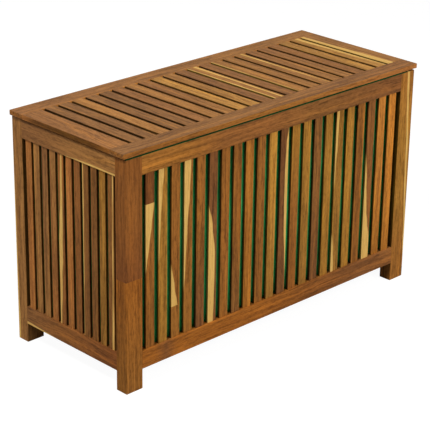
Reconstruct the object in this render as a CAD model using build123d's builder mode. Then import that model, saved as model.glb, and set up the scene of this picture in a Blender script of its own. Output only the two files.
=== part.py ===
"""Deck storage box: a slatted wooden box on four posts, with a hinged slatted lid and a fabric liner.

Millimetres. +Z is up, the front faces -Y, and the origin is on the floor under the middle of the box.
"""

import os

from build123d import *

# Driving dimensions

# Posts and overall size of the box
box_length = 1104.0
box_depth = 450.0
post_height = 648.0
post_width = 56.0
post_depth = 40.0
post_rounding = 2.0

# Rails, flush with the posts' outer faces, and their tenons
rail_height = 52.0
rail_thickness = 18.0
rail_rounding = 1.5
bottom_rail_clearance = 56.0
tenon_thickness = 10.0
tenon_height = 36.0
long_tenon = 25.0
short_tenon = 12.0

# Upright slats, housed in the rails and set back from their outer faces
front_slat_width = 30.0
front_slat_gap = 14.0
side_slat_width = 23.5
side_slat_gap = 9.0
slat_thickness = 7.0
slat_setback = 4.0
slat_seat = 12.0
slat_rounding = 1.2

# Floor slats on battens along the rails
batten_width = 20.0
batten_height = 20.0
batten_drop = 6.0
batten_end_gap = 1.0
floor_slat_width = 60.0
floor_slat_gap = 20.0
floor_slat_thickness = 12.0
floor_end_slat_width = 36.0
floor_clearance = 3.0

# Corner brackets, from the posts to the side rails
bracket_height = 30.0
bracket_thickness = 2.0
bracket_rail_leg = 34.0
bracket_setback = 4.0
bracket_screw_pitch = 16.0

# Wood screws
screw_head_radius = 3.5
screw_shank_radius = 1.75
screw_tip = 3.0
bracket_post_screw = 18.0
bracket_rail_screw = 13.0
batten_screw = 30.0
floor_screw = 26.0
lid_batten_screw = 26.0
hinge_rail_screw = 16.0
hinge_lid_screw = 11.0

# Liner of coated cloth, its hems and the tacks that hold them
liner_clearance = 0.8
liner_thickness = 1.2
hem_thickness = 3.0
front_hem_setback = 1.0
front_hem_right_setback = 32.0
side_hem_setback = 4.0
back_hem_height = 28.0
back_hem_thickness = 2.4
tack_head_radius = 4.0
tack_head_thickness = 0.6
tack_shank_radius = 0.8
tack_length = 10.0
tack_spacing = 80.0

# Lid
lid_thickness = 14.0
lid_side_overhang = 7.5
lid_front_overhang = 2.5
lid_rail_width = 54.0
lid_end_width = 64.0
lid_rounding = 2.5
lid_slat_width = 36.0
lid_slat_gap = 10.5
lid_slat_thickness = 12.0
lid_slat_rounding = 1.5
tongue_thickness = 6.0
tongue_length = 10.0
tongue_shoulder = 3.0
lid_batten_width = 40.0
lid_batten_height = 18.0
lid_batten_spacing = 180.0
lid_batten_end_gap = 16.0

# Butt hinges at the back
hinge_inset = 150.0
hinge_length = 64.0
hinge_leaf_thickness = 2.0
hinge_leaf_gap = 0.8
hinge_leaf_setback = 1.5
hinge_screw_pitch = 22.0
knuckle_count = 5
knuckle_radius = 3.5
knuckle_standoff = 1.0
knuckle_gap = 0.3
pin_radius = 1.9
pin_clearance = 0.05
pin_head_radius = 2.9
pin_head_thickness = 1.2

# Places worked out from the sizes above

half_length = box_length / 2
half_depth = box_depth / 2
front_span = box_length - 2 * post_width
side_span = box_depth - 2 * post_depth
long_rail_y = half_depth - rail_thickness / 2
side_rail_x = half_length - rail_thickness / 2
rail_inner_y = half_depth - rail_thickness
rail_inner_x = half_length - rail_thickness
bottom_rail_z = bottom_rail_clearance + rail_height / 2
top_rail_z = post_height - rail_height / 2
slat_length = top_rail_z - bottom_rail_z - rail_height + 2 * slat_seat
slat_z = (top_rail_z + bottom_rail_z) / 2
slat_row_x = half_length - slat_setback - slat_thickness / 2
slat_row_y = half_depth - slat_setback - slat_thickness / 2
post_inner_y = half_depth - post_depth

batten_y = rail_inner_y - batten_width / 2
side_batten_x = rail_inner_x - batten_width / 2
side_batten_length = 2 * (post_inner_y - bracket_rail_leg - batten_end_gap)
batten_z = bottom_rail_clearance + batten_drop + batten_height / 2
floor_low = batten_z + batten_height / 2
floor_top = floor_low + floor_slat_thickness

liner_half_length = half_length - post_width - liner_clearance
liner_half_depth = rail_inner_y - liner_clearance
pocket_half_length = rail_inner_x - bracket_thickness - liner_clearance
pocket_half_depth = post_inner_y - bracket_thickness - liner_clearance
hem_top = post_height + hem_thickness

lid_gap = 2 * hinge_leaf_thickness + hinge_leaf_gap
lid_low = post_height + lid_gap
lid_top = lid_low + lid_thickness
lid_length = box_length + 2 * lid_side_overhang
lid_depth = box_depth + lid_front_overhang
lid_front_y = -half_depth - lid_front_overhang
lid_middle_y = lid_front_y + lid_depth / 2
lid_slat_span = lid_length - 2 * lid_end_width
lid_slat_length = lid_depth - 2 * lid_rail_width
lid_slat_low = lid_top - lid_slat_thickness
tongue_z = lid_top - lid_slat_thickness / 2

hinge_axis_y = half_depth + knuckle_standoff + knuckle_radius
hinge_axis_z = post_height + lid_gap / 2
hinge_screw_y = half_depth - rail_thickness / 2
hinge_places = {
    "left": -half_length + hinge_inset,
    "middle": 0.0,
    "right": half_length - hinge_inset,
}

os.makedirs("parts", exist_ok=True)


def save(piece, node):
    """Labels a finished piece and writes it to a file of its own."""
    piece.part.label = node
    export_step(piece.part, f"parts/{node}.step")


def spread(span, width, gap):
    """Centres of boards of one width over a span, with even gaps close to the one asked for."""
    count = int((span - gap) // (width + gap))
    even_gap = (span - count * width) / (count + 1)
    first = -span / 2 + even_gap + width / 2
    return [first + number * (width + even_gap) for number in range(count)]


def wood_screw(length):
    """A countersunk screw with its head's face at the origin, pointing down."""
    head_depth = screw_head_radius - screw_shank_radius
    with BuildPart() as screw:
        with BuildSketch(Plane.XZ):
            with BuildLine():
                Polyline(
                    (0, 0),
                    (screw_head_radius, 0),
                    (screw_shank_radius, -head_depth),
                    (screw_shank_radius, screw_tip - length),
                    (0, -length),
                    close=True,
                )
            make_face()
        revolve(axis=Axis.Z)
    return screw.part


def facing(place, direction):
    """A location whose local up is the given direction."""
    return Plane(origin=place, z_dir=direction).location


front_slats_x = spread(front_span, front_slat_width, front_slat_gap)
side_slats_y = spread(side_span, side_slat_width, side_slat_gap)
lid_slats_x = spread(lid_slat_span, lid_slat_width, lid_slat_gap)
floor_span = front_span - 2 * batten_end_gap
floor_slats_x = spread(floor_span, floor_slat_width, floor_slat_gap)
sides = (-1, 1)
quarter_turn = 90

# Corner brackets: folded steel angles inside each corner, at the top rails and the bottom rails

bracket_post_leg = post_width - rail_thickness - bracket_setback
bracket_corners = [(side, end, z) for side in sides for end in sides for z in (bottom_rail_z, top_rail_z)]

with BuildPart() as corner_brackets:
    for side, end, z in bracket_corners:
        post_leg_x = side * (rail_inner_x - bracket_post_leg / 2)
        rail_leg_y = end * (post_inner_y - bracket_rail_leg / 2)
        with Locations((post_leg_x, end * (post_inner_y - bracket_thickness / 2), z)):
            Box(bracket_post_leg, bracket_thickness, bracket_height)
        with Locations((side * (rail_inner_x - bracket_thickness / 2), rail_leg_y, z)):
            Box(bracket_thickness, bracket_rail_leg, bracket_height)

post_screws = []
rail_screws = []
for side, end, z in bracket_corners:
    post_screw_x = side * (rail_inner_x - bracket_post_leg / 2)
    rail_screw_y = end * (post_inner_y - bracket_rail_leg / 2)
    for rise in (-bracket_screw_pitch / 2, bracket_screw_pitch / 2):
        post_head = (post_screw_x, end * (post_inner_y - bracket_thickness), z + rise)
        rail_head = (side * (rail_inner_x - bracket_thickness), rail_screw_y, z + rise)
        post_screws.append(facing(post_head, (0, -end, 0)))
        rail_screws.append(facing(rail_head, (-side, 0, 0)))

with BuildPart() as corner_bracket_screws:
    with Locations(post_screws):
        add(wood_screw(bracket_post_screw))
    with Locations(rail_screws):
        add(wood_screw(bracket_rail_screw))

# Floor fasteners: batten screws between the floor slats, and two screws down through each floor slat

slat_pairs = zip(floor_slats_x[0:-1:2], floor_slats_x[1::2])
between_slats_x = [(left_x + right_x) / 2 for left_x, right_x in slat_pairs]
side_batten_screws_y = (-side_batten_length / 6, side_batten_length / 6)
end_slat_screws_y = (-side_batten_length / 3, side_batten_length / 3)

with BuildPart() as batten_screws:
    with Locations([
        facing((x, end * (rail_inner_y - batten_width), batten_z), (0, -end, 0))
        for x in between_slats_x
        for end in sides
    ]):
        add(wood_screw(batten_screw))
    with Locations([
        facing((side * (rail_inner_x - batten_width), y, batten_z), (-side, 0, 0))
        for y in side_batten_screws_y
        for side in sides
    ]):
        add(wood_screw(batten_screw))

with BuildPart() as floor_screws:
    with Locations([(x, end * batten_y, floor_top) for x in floor_slats_x for end in sides]):
        add(wood_screw(floor_screw))
    with Locations([(side * side_batten_x, y, floor_top) for y in end_slat_screws_y for side in sides]):
        add(wood_screw(floor_screw))

# Hinge screws: down into the back top rail, and up into the lid's back rail

hinge_screws_x = [
    middle + step * hinge_screw_pitch for middle in hinge_places.values() for step in (-1, 0, 1)
]

with BuildPart() as hinge_body_screws:
    with Locations([(x, hinge_screw_y, post_height + hinge_leaf_thickness) for x in hinge_screws_x]):
        add(wood_screw(hinge_rail_screw))

with BuildPart() as hinge_lid_screws:
    with Locations([
        facing((x, hinge_screw_y, lid_low - hinge_leaf_thickness), (0, 0, -1))
        for x in hinge_screws_x
    ]):
        add(wood_screw(hinge_lid_screw))

# Lid batten screws: one up into each lid slat from each batten

lid_battens_y = [lid_middle_y - lid_batten_spacing / 2, lid_middle_y + lid_batten_spacing / 2]

with BuildPart() as lid_batten_screws:
    with Locations([
        facing((x, y, lid_slat_low - lid_batten_height), (0, 0, -1))
        for x in lid_slats_x
        for y in lid_battens_y
    ]):
        add(wood_screw(lid_batten_screw))

# Liner tacks: through the hems into the front and side rails' tops and the back rail's inner face

with BuildPart() as tack:
    with Locations((0, 0, tack_head_thickness / 2)):
        Cylinder(tack_head_radius, tack_head_thickness)
    with Locations((0, 0, -tack_length / 2)):
        Cylinder(tack_shank_radius, tack_length)

front_tacks_x = spread(front_span, 2 * tack_head_radius, tack_spacing)
side_tacks_y = spread(side_span, 2 * tack_head_radius, tack_spacing)
back_tack_y = liner_half_depth - liner_thickness - back_hem_thickness
back_tack_z = post_height - back_hem_height / 2

with BuildPart() as liner_tacks:
    with Locations([(x, -long_rail_y, hem_top) for x in front_tacks_x]):
        add(tack.part)
    with Locations([(side * side_rail_x, y, hem_top) for side in sides for y in side_tacks_y]):
        add(tack.part)
    with Locations([facing((x, back_tack_y, back_tack_z), (0, -1, 0)) for x in front_tacks_x]):
        add(tack.part)

# Posts: one solid corner post, mortised for both of its rails and mirrored to the other corners

with BuildPart() as bare_post:
    with BuildSketch() as post_section:
        with Locations((post_width / 2 - half_length, post_depth / 2 - half_depth)):
            Rectangle(post_width, post_depth)
        fillet(post_section.vertices(), post_rounding)
    extrude(amount=post_height)
    for z in (bottom_rail_z, top_rail_z):
        with Locations((-front_span / 2 - long_tenon / 2, -long_rail_y, z)):
            Box(long_tenon, tenon_thickness, tenon_height, mode=Mode.SUBTRACT)
        with Locations((-side_rail_x, -side_span / 2 - short_tenon / 2, z)):
            Box(tenon_thickness, short_tenon, tenon_height, mode=Mode.SUBTRACT)

post_shapes = {
    "post_front_left": bare_post.part,
    "post_front_right": bare_post.part.mirror(Plane.YZ),
    "post_back_left": bare_post.part.mirror(Plane.XZ),
    "post_back_right": bare_post.part.mirror(Plane.YZ).mirror(Plane.XZ),
}

for node, shape in post_shapes.items():
    with BuildPart() as post:
        add(shape)
        add(corner_bracket_screws.part, mode=Mode.SUBTRACT)
    save(post, node)


# Rails: tenoned at both ends, with a mortise for the end of each slat


def bare_rail(length, tenon_length):
    """A rail along X about the origin, with a tenon at each end."""
    with BuildPart() as rail:
        Box(length, rail_thickness, rail_height)
        fillet(rail.edges().filter_by(Axis.X), rail_rounding)
        Box(length + 2 * tenon_length, tenon_thickness, tenon_height)
    return rail.part


def upright_boards(places, width, depth):
    """Square-edged upright boards as long as the slats, each width by depth in plan."""
    with BuildPart() as boards:
        with BuildSketch(Plane.XY.offset(slat_z - slat_length / 2)):
            with Locations(places):
                Rectangle(width, depth)
        extrude(amount=slat_length)
    return boards.part


long_rail = bare_rail(front_span, long_tenon)
side_rail = bare_rail(side_span, short_tenon).rotate(Axis.Z, quarter_turn)
walls = {
    "front": (long_rail, 0, -long_rail_y),
    "back": (long_rail, 0, long_rail_y),
    "left": (side_rail, -side_rail_x, 0),
    "right": (side_rail, side_rail_x, 0),
}
levels = {"bottom": bottom_rail_z, "top": top_rail_z}
slat_boards = {
    "front": upright_boards([(x, -slat_row_y) for x in front_slats_x], front_slat_width, slat_thickness),
    "back": upright_boards([(x, slat_row_y) for x in front_slats_x], front_slat_width, slat_thickness),
    "left": upright_boards([(-slat_row_x, y) for y in side_slats_y], slat_thickness, side_slat_width),
    "right": upright_boards([(slat_row_x, y) for y in side_slats_y], slat_thickness, side_slat_width),
}
rail_fasteners = {
    "front_bottom_rail": [batten_screws],
    "front_top_rail": [liner_tacks],
    "back_bottom_rail": [batten_screws],
    "back_top_rail": [hinge_body_screws, liner_tacks],
    "left_bottom_rail": [corner_bracket_screws, batten_screws],
    "left_top_rail": [corner_bracket_screws, liner_tacks],
    "right_bottom_rail": [corner_bracket_screws, batten_screws],
    "right_top_rail": [corner_bracket_screws, liner_tacks],
}

for wall, (shape, x, y) in walls.items():
    for level, z in levels.items():
        node = f"{wall}_{level}_rail"
        with BuildPart() as rail:
            with Locations((x, y, z)):
                add(shape)
            add(slat_boards[wall], mode=Mode.SUBTRACT)
            for fasteners in rail_fasteners[node]:
                add(fasteners.part, mode=Mode.SUBTRACT)
        save(rail, node)

# Upright slats: plain boards with rounded edges, their ends in the rails' mortises

for wall, boards in slat_boards.items():
    with BuildPart() as slats:
        add(boards)
        fillet(slats.edges().filter_by(Axis.Z), slat_rounding)
    save(slats, f"{wall}_slats")

# Floor: a batten along each bottom rail, slats across the long ones, and a short slat at each end

floor_battens = {
    "floor_front_batten": (0, -batten_y, floor_span, batten_width),
    "floor_back_batten": (0, batten_y, floor_span, batten_width),
    "floor_left_batten": (-side_batten_x, 0, batten_width, side_batten_length),
    "floor_right_batten": (side_batten_x, 0, batten_width, side_batten_length),
}

for node, (x, y, length, width) in floor_battens.items():
    with BuildPart() as batten:
        with Locations((x, y, batten_z)):
            Box(length, width, batten_height)
        add(batten_screws.part, mode=Mode.SUBTRACT)
        add(floor_screws.part, mode=Mode.SUBTRACT)
    save(batten, node)

floor_middle_z = (floor_low + floor_top) / 2
end_slat_x = rail_inner_x - floor_clearance - floor_end_slat_width / 2
end_slat_length = 2 * (post_inner_y - bracket_thickness - floor_clearance)

with BuildPart() as floor_slats:
    with Locations([(x, 0, floor_middle_z) for x in floor_slats_x]):
        Box(floor_slat_width, 2 * (rail_inner_y - floor_clearance), floor_slat_thickness)
    with Locations([(side * end_slat_x, 0, floor_middle_z) for side in sides]):
        Box(floor_end_slat_width, end_slat_length, floor_slat_thickness)
    add(floor_screws.part, mode=Mode.SUBTRACT)
save(floor_slats, "floor_slats")

# Corner brackets, drilled and countersunk for their screws

with BuildPart() as drilled_brackets:
    add(corner_brackets.part)
    add(corner_bracket_screws.part, mode=Mode.SUBTRACT)
save(drilled_brackets, "corner_brackets")

# Liner: sewn panels of coated cloth, tucked round the posts, with hems over the rails

inner_half_length = liner_half_length - liner_thickness
inner_half_depth = liner_half_depth - liner_thickness
pocket_inner_length = pocket_half_length - liner_thickness
pocket_inner_depth = pocket_half_depth - liner_thickness
front_panel_y = liner_half_depth - liner_thickness / 2

with BuildPart() as liner_base:
    with Locations((0, 0, floor_top + liner_thickness / 2)):
        Box(2 * inner_half_length, 2 * inner_half_depth, liner_thickness)
        Box(2 * pocket_inner_length, 2 * pocket_inner_depth, liner_thickness)
save(liner_base, "liner_base")

with BuildPart() as liner_front_panel:
    with Locations((0, -front_panel_y, (floor_top + hem_top) / 2)):
        Box(2 * liner_half_length, liner_thickness, hem_top - floor_top)
save(liner_front_panel, "liner_front_panel")

with BuildPart() as liner_back_panel:
    with Locations((0, front_panel_y, (floor_top + post_height) / 2)):
        Box(2 * liner_half_length, liner_thickness, post_height - floor_top)
    add(liner_tacks.part, mode=Mode.SUBTRACT)
save(liner_back_panel, "liner_back_panel")

for node, side in (("liner_left_panel", -1), ("liner_right_panel", 1)):
    with BuildPart() as side_panel:
        with Locations((side * (pocket_half_length - liner_thickness / 2), 0, (floor_top + hem_top) / 2)):
            Box(liner_thickness, 2 * pocket_half_depth, hem_top - floor_top)
    save(side_panel, node)

# Each tuck is two strips in one: one beside the post, one across to the side panel

tuck_height = post_height - floor_top
tuck_z = (floor_top + post_height) / 2
beside_length = inner_half_depth - pocket_half_depth
beside_x = liner_half_length - liner_thickness / 2
beside_y = pocket_half_depth + beside_length / 2
across_length = pocket_inner_length - inner_half_length
across_x = inner_half_length + across_length / 2
across_y = pocket_half_depth - liner_thickness / 2

with BuildPart() as liner_corner_tucks:
    with Locations([(side * beside_x, end * beside_y, tuck_z) for side in sides for end in sides]):
        Box(liner_thickness, beside_length, tuck_height)
    with Locations([(side * across_x, end * across_y, tuck_z) for side in sides for end in sides]):
        Box(across_length, liner_thickness, tuck_height)
save(liner_corner_tucks, "liner_corner_tucks")

front_hem_width = rail_thickness + liner_clearance - front_hem_setback
front_hem_length = box_length - front_hem_setback - front_hem_right_setback
front_hem_x = (front_hem_setback - front_hem_right_setback) / 2
with BuildPart() as liner_front_hem:
    with Locations((front_hem_x, -liner_half_depth - front_hem_width / 2, post_height + hem_thickness / 2)):
        Box(front_hem_length, front_hem_width, hem_thickness)
    add(liner_tacks.part, mode=Mode.SUBTRACT)
save(liner_front_hem, "liner_front_hem")

side_hem_width = half_length - side_hem_setback - pocket_half_length
for node, side in (("liner_left_hem", -1), ("liner_right_hem", 1)):
    with BuildPart() as side_hem:
        side_hem_x = side * (pocket_half_length + side_hem_width / 2)
        with Locations((side_hem_x, 0, post_height + hem_thickness / 2)):
            Box(side_hem_width, 2 * pocket_half_depth, hem_thickness)
        add(liner_tacks.part, mode=Mode.SUBTRACT)
    save(side_hem, node)

with BuildPart() as liner_back_hem:
    with Locations((0, inner_half_depth - back_hem_thickness / 2, back_tack_z)):
        Box(2 * inner_half_length, back_hem_thickness, back_hem_height)
    add(liner_tacks.part, mode=Mode.SUBTRACT)
save(liner_back_hem, "liner_back_hem")

# Fasteners that belong to the box

save(corner_bracket_screws, "corner_bracket_screws")
save(batten_screws, "batten_screws")
save(floor_screws, "floor_screws")
save(liner_tacks, "liner_tacks")
save(hinge_body_screws, "hinge_body_screws")


# Hinges: folded leaves in the gap under the lid, knuckles in turn on a pin behind the box


def hinge_leaf(middle_x, low_z, first_knuckle, screws):
    """A leaf with every second knuckle, from the first one given, bored for the pin."""
    leaf_depth = rail_thickness - hinge_leaf_setback
    pitch = hinge_length / knuckle_count
    knuckles_x = [
        middle_x - hinge_length / 2 + (number + 0.5) * pitch
        for number in range(first_knuckle, knuckle_count, 2)
    ]
    reach = hinge_axis_y - half_depth
    middle_z = low_z + hinge_leaf_thickness / 2
    along = (0, quarter_turn, 0)
    with BuildPart() as leaf:
        with Locations((middle_x, half_depth - leaf_depth / 2, middle_z)):
            Box(hinge_length, leaf_depth, hinge_leaf_thickness)
        with Locations([(x, half_depth + reach / 2, middle_z) for x in knuckles_x]):
            Box(pitch - knuckle_gap, reach, hinge_leaf_thickness)
        with Locations([(x, hinge_axis_y, hinge_axis_z) for x in knuckles_x]):
            Cylinder(knuckle_radius, pitch - knuckle_gap, rotation=along)
        with Locations((middle_x, hinge_axis_y, hinge_axis_z)):
            Cylinder(pin_radius + pin_clearance, 2 * hinge_length, rotation=along, mode=Mode.SUBTRACT)
        add(screws.part, mode=Mode.SUBTRACT)
    return leaf


lid_leaf_low = lid_low - hinge_leaf_thickness

for place, middle_x in hinge_places.items():
    save(hinge_leaf(middle_x, post_height, 0, hinge_body_screws), f"hinge_{place}_body_leaf")
    save(hinge_leaf(middle_x, lid_leaf_low, 1, hinge_lid_screws), f"hinge_{place}_lid_leaf")
    with BuildPart() as hinge_pin:
        with Locations(Location((middle_x, hinge_axis_y, hinge_axis_z), (0, quarter_turn, 0))):
            Cylinder(pin_radius, hinge_length)
        head_x = hinge_length / 2 + pin_head_thickness / 2
        with Locations([
            Location((middle_x + side * head_x, hinge_axis_y, hinge_axis_z), (0, quarter_turn, 0))
            for side in sides
        ]):
            Cylinder(pin_head_radius, pin_head_thickness)
    save(hinge_pin, f"hinge_{place}_pin")

# Lid frame: front and back rails over the whole length, with an end board between them at each end

lid_mortises_x = [
    (x, width - 2 * tongue_shoulder)
    for places, width in (
        (lid_slats_x, lid_slat_width),
        ((-(lid_length - lid_end_width) / 2, (lid_length - lid_end_width) / 2), lid_end_width),
    )
    for x in places
]

for node, end, screws in (("lid_front_rail", -1, None), ("lid_back_rail", 1, hinge_lid_screws)):
    rail_y = lid_middle_y + end * (lid_depth - lid_rail_width) / 2
    inner_y = rail_y - end * lid_rail_width / 2
    with BuildPart() as lid_rail:
        with Locations((0, rail_y, (lid_low + lid_top) / 2)):
            Box(lid_length, lid_rail_width, lid_thickness)
        inner_face = lid_rail.faces().sort_by(Axis.Y)[0 if end > 0 else -1]
        fillet(lid_rail.edges() - inner_face.edges(), lid_rounding)
        for x, width in lid_mortises_x:
            with Locations((x, inner_y + end * tongue_length / 2, tongue_z)):
                Box(width, tongue_length, tongue_thickness, mode=Mode.SUBTRACT)
        if screws:
            add(screws.part, mode=Mode.SUBTRACT)
    save(lid_rail, node)

tongued_length = lid_slat_length + 2 * tongue_length

for node, side in (("lid_left_board", -1), ("lid_right_board", 1)):
    with BuildPart() as end_board:
        with Locations((side * (lid_length - lid_end_width) / 2, lid_middle_y, (lid_low + lid_top) / 2)):
            Box(lid_end_width, lid_slat_length, lid_thickness)
        outer_edges = end_board.edges().filter_by(Axis.Y).sort_by(Axis.X)
        fillet(outer_edges[:2] if side < 0 else outer_edges[-2:], lid_rounding)
        with Locations((side * (lid_length - lid_end_width) / 2, lid_middle_y, tongue_z)):
            Box(lid_end_width - 2 * tongue_shoulder, tongued_length, tongue_thickness)
    save(end_board, node)

# Lid slats: tongued into the lid's rails, flush with their tops, on two battens underneath

with BuildPart() as lid_slats:
    with Locations([(x, lid_middle_y, (lid_slat_low + lid_top) / 2) for x in lid_slats_x]):
        Box(lid_slat_width, lid_slat_length, lid_slat_thickness)
    fillet(lid_slats.edges().filter_by(Axis.Y), lid_slat_rounding)
    with Locations([(x, lid_middle_y, tongue_z) for x in lid_slats_x]):
        Box(lid_slat_width - 2 * tongue_shoulder, tongued_length, tongue_thickness)
    add(lid_batten_screws.part, mode=Mode.SUBTRACT)
save(lid_slats, "lid_slats")

for node, y in zip(("lid_front_batten", "lid_back_batten"), lid_battens_y):
    with BuildPart() as lid_batten:
        with Locations((0, y, lid_slat_low - lid_batten_height / 2)):
            Box(lid_slat_span - 2 * lid_batten_end_gap, lid_batten_width, lid_batten_height)
        add(lid_batten_screws.part, mode=Mode.SUBTRACT)
    save(lid_batten, node)

save(lid_batten_screws, "lid_batten_screws")
save(hinge_lid_screws, "hinge_lid_screws")
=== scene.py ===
import bpy
import numpy as np
from mathutils import Matrix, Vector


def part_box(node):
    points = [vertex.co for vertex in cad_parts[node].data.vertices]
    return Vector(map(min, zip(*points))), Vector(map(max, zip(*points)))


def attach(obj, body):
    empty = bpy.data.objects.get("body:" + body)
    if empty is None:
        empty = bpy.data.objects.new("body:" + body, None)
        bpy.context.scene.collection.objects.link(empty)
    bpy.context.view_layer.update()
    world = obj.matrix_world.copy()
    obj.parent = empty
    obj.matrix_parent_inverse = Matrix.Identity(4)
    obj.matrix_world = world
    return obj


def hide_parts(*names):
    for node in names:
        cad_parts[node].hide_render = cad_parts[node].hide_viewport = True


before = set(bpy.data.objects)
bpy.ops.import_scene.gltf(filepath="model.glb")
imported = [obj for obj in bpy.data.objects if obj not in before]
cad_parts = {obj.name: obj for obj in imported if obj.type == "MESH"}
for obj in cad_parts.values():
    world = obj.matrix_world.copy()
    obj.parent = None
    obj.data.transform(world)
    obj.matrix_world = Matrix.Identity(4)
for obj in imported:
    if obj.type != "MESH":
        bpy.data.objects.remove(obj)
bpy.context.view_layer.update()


# Corner posts: four planed acacia posts that run down to make the legs, one pieced from two lengths.
# The rails are tenoned into them, so each post shows two broad faces and eased arrises, oiled all over.

# Tones of the wood: the heartwood's colour and that of its darker figure, in screen levels.
wood_tones = {
    "brick": ((138, 82, 40), (90, 52, 27)),
    "rust": ((154, 94, 40), (100, 58, 25)),
    "hazel": ((151, 93, 42), (111, 66, 30)),
    "copper": ((174, 105, 39), (117, 67, 25)),
    "clay": ((188, 121, 62), (130, 80, 40)),
    "chestnut": ((164, 104, 45), (103, 62, 27)),
    "russet": ((173, 113, 49), (112, 70, 29)),
    "amber": ((184, 118, 47), (124, 74, 27)),
    "apricot": ((206, 133, 56), (146, 89, 36)),
    "golden": ((182, 127, 52), (122, 82, 31)),
    "honey": ((198, 140, 58), (140, 92, 35)),
    "umber": ((148, 98, 50), (96, 61, 31)),
    "plum": ((137, 87, 47), (86, 53, 30)),
    "olive": ((170, 119, 52), (110, 74, 31)),
    "rose": ((160, 102, 51), (106, 66, 34)),
    "drift": ((146, 101, 58), (96, 65, 39)),
    "faded": ((155, 105, 60), (103, 68, 39)),
    "dusty": ((174, 121, 66), (118, 79, 42)),
    "sand": ((194, 141, 71), (136, 93, 46)),
}

# Darkness painted along an edge, as rows of share of length and darkness: none, or full, as painted shade
# where the edge faces into a gap.
bare_edge = ((0, 0.0),)
shaded_edge = ((0, 1.0),)

# Where in the log each board is cut: how far off the pith lies, across and below it, and where it starts.
cutting_list = np.random.default_rng(23)
pith_nearest = (-0.03, 0.015)
pith_farthest = (0.03, 0.07)
log_length = 40


def pigment(red, green, blue):
    """A colour in screen levels, 0 to 255, turned to linear light: the screen's power curve, undone."""
    level = np.array([red, green, blue]) / 255
    return np.where(level > 0.04045, ((level + 0.055) / 1.055) ** 2.4, level / 12.92)


def band_edges(rows, share_along, share_across, width):
    """How far a point lies inside the left and the right edge of a pale band. rows are share of length, left
    and right share of width; between two rows an edge swings over on an s-curve."""
    rows = np.array(rows, float)
    count = np.arange(len(rows))
    knot = np.interp(share_along, rows[:, 0], count)
    part = knot - np.floor(knot)
    knot = np.floor(knot) + part**2 * (3 - 2 * part)
    left = np.interp(knot, count, rows[:, 1])
    right = np.interp(knot, count, rows[:, 2])
    return (share_across - left) * width, (right - share_across) * width


def wood_colours(tone, share_along):
    """The heartwood's and the figure's colour along a board, side by side. tone is one tone, or rows of
    share of length and tone between which the colour changes evenly."""
    places, tones = zip(*([(0, tone)] if isinstance(tone, str) else tone))
    shades = np.array([[pigment(*shade) for shade in wood_tones[name]] for name in tones])
    return np.stack([np.interp(share_along, places, channel) for channel in shades.reshape(-1, 6).T], -1)


def tube_faces(rings, around):
    """Faces on rings of points that follow one another: quads round the sides, and a face over each end."""
    spot = np.arange(rings * around).reshape(rings, around)
    ahead = np.roll(spot, -1, axis=1)
    quads = np.stack([spot[:-1], ahead[:-1], ahead[1:], spot[1:]], -1).reshape(-1, 4)
    return quads, np.stack([spot[0, ::-1], spot[-1]])


def planed_shape(low, high, along, across, arris, end_round):
    """Rings of points with their normals: a rectangle with quarter-round corners, carried along one axis and
    drawn in by a quarter circle at both ends. It also gives each point's place and turn in the rectangle."""
    through = 3 - along - across
    length, width, depth = (high - low)[[along, across, through]]
    corner_steps, end_steps, stations = 4, 3, 25
    turn = (np.arange(4)[:, None] + np.linspace(0, 1, corner_steps)).ravel() * np.pi / 2
    quarter = np.repeat((np.arange(4) + 0.5) * np.pi / 2, corner_steps)
    outward = np.stack([np.cos(turn), np.sin(turn)], 1)
    corner_side = np.sign(np.stack([np.cos(quarter), np.sin(quarter)], 1))
    centre = corner_side * (np.array([width, depth]) / 2 - arris)

    lean = np.linspace(0, np.pi / 2, end_steps)
    run_in = end_round * (1 - np.cos(lean))
    middle = np.linspace(end_round, length - end_round, stations)[1:-1]
    run = np.concatenate([run_in, middle, length - run_in[::-1]])
    drawn_in = end_round * (1 - np.sin(lean))
    inset = np.concatenate([drawn_in, 0 * middle, drawn_in[::-1]])
    tilt = np.concatenate([-np.cos(lean), 0 * middle, np.cos(lean[::-1])])

    section = centre + (arris - inset)[:, None, None] * outward
    points = np.empty((*section.shape[:2], 3))
    points[..., along] = low[along] + run[:, None]
    points[..., across] = (low + high)[across] / 2 + section[..., 0]
    points[..., through] = (low + high)[through] / 2 + section[..., 1]
    normals = np.empty_like(points)
    normals[..., along] = tilt[:, None]
    normals[..., across] = np.sqrt(1 - tilt**2)[:, None] * outward[:, 0]
    normals[..., through] = np.sqrt(1 - tilt**2)[:, None] * outward[:, 1]
    return points, normals, section, turn


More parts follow.
